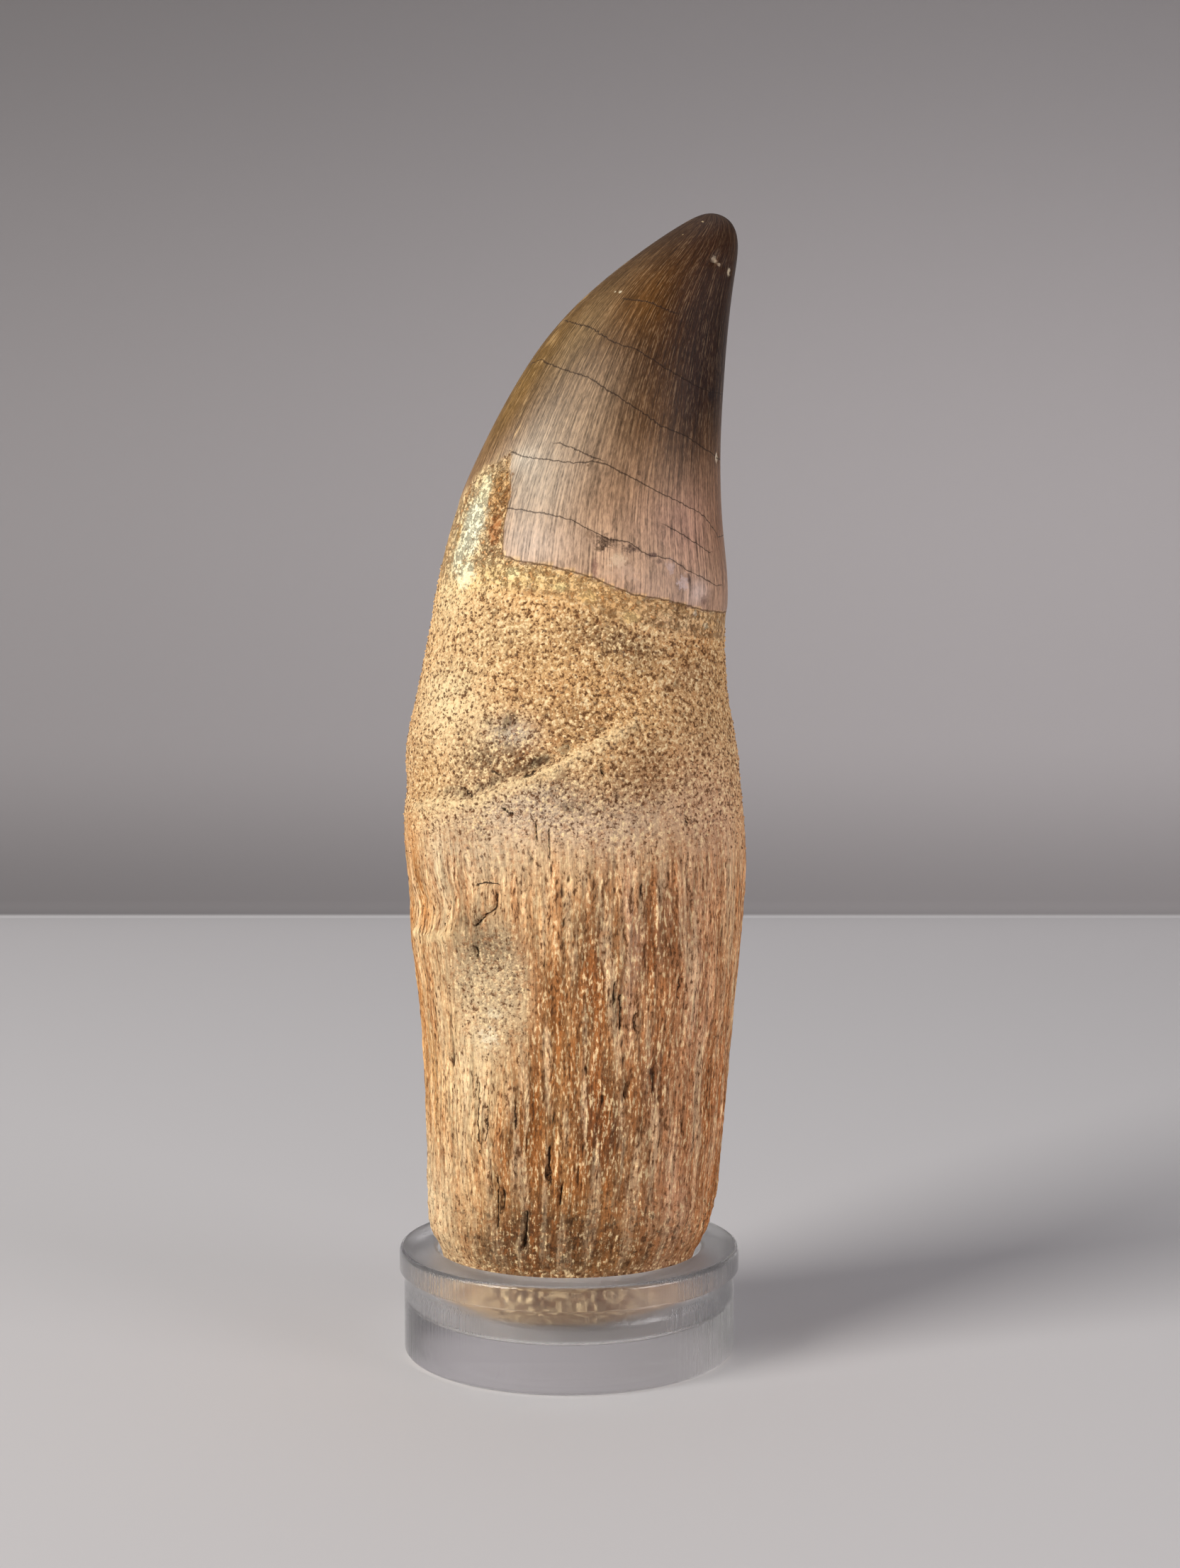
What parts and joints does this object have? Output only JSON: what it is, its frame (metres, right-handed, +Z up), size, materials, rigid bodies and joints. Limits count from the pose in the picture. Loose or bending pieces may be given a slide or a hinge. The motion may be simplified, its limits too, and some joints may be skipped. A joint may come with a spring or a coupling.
{
  "type": "fossil mosasaur tooth on a stand",
  "caption": "Curved fossil reptile tooth with its long root, standing upright in the seat of a small clear round stand.",
  "frame": {"origin": "centre of the stand's flat underside, on the surface it stands on", "axes": "+Z up along the tooth, -Y the front that the picture shows, +X the side that the tip leans to"},
  "size_m": [0.0325, 0.032, 0.1061],
  "materials": {
    "tooth": "fossil bone, tan and granular, under a glossier brown enamel crown",
    "stand": "polished clear acrylic"
  },
  "bodies": {
    "root": {"tooth": "tooth", "stand": "stand"}
  },
  "joints": []
}
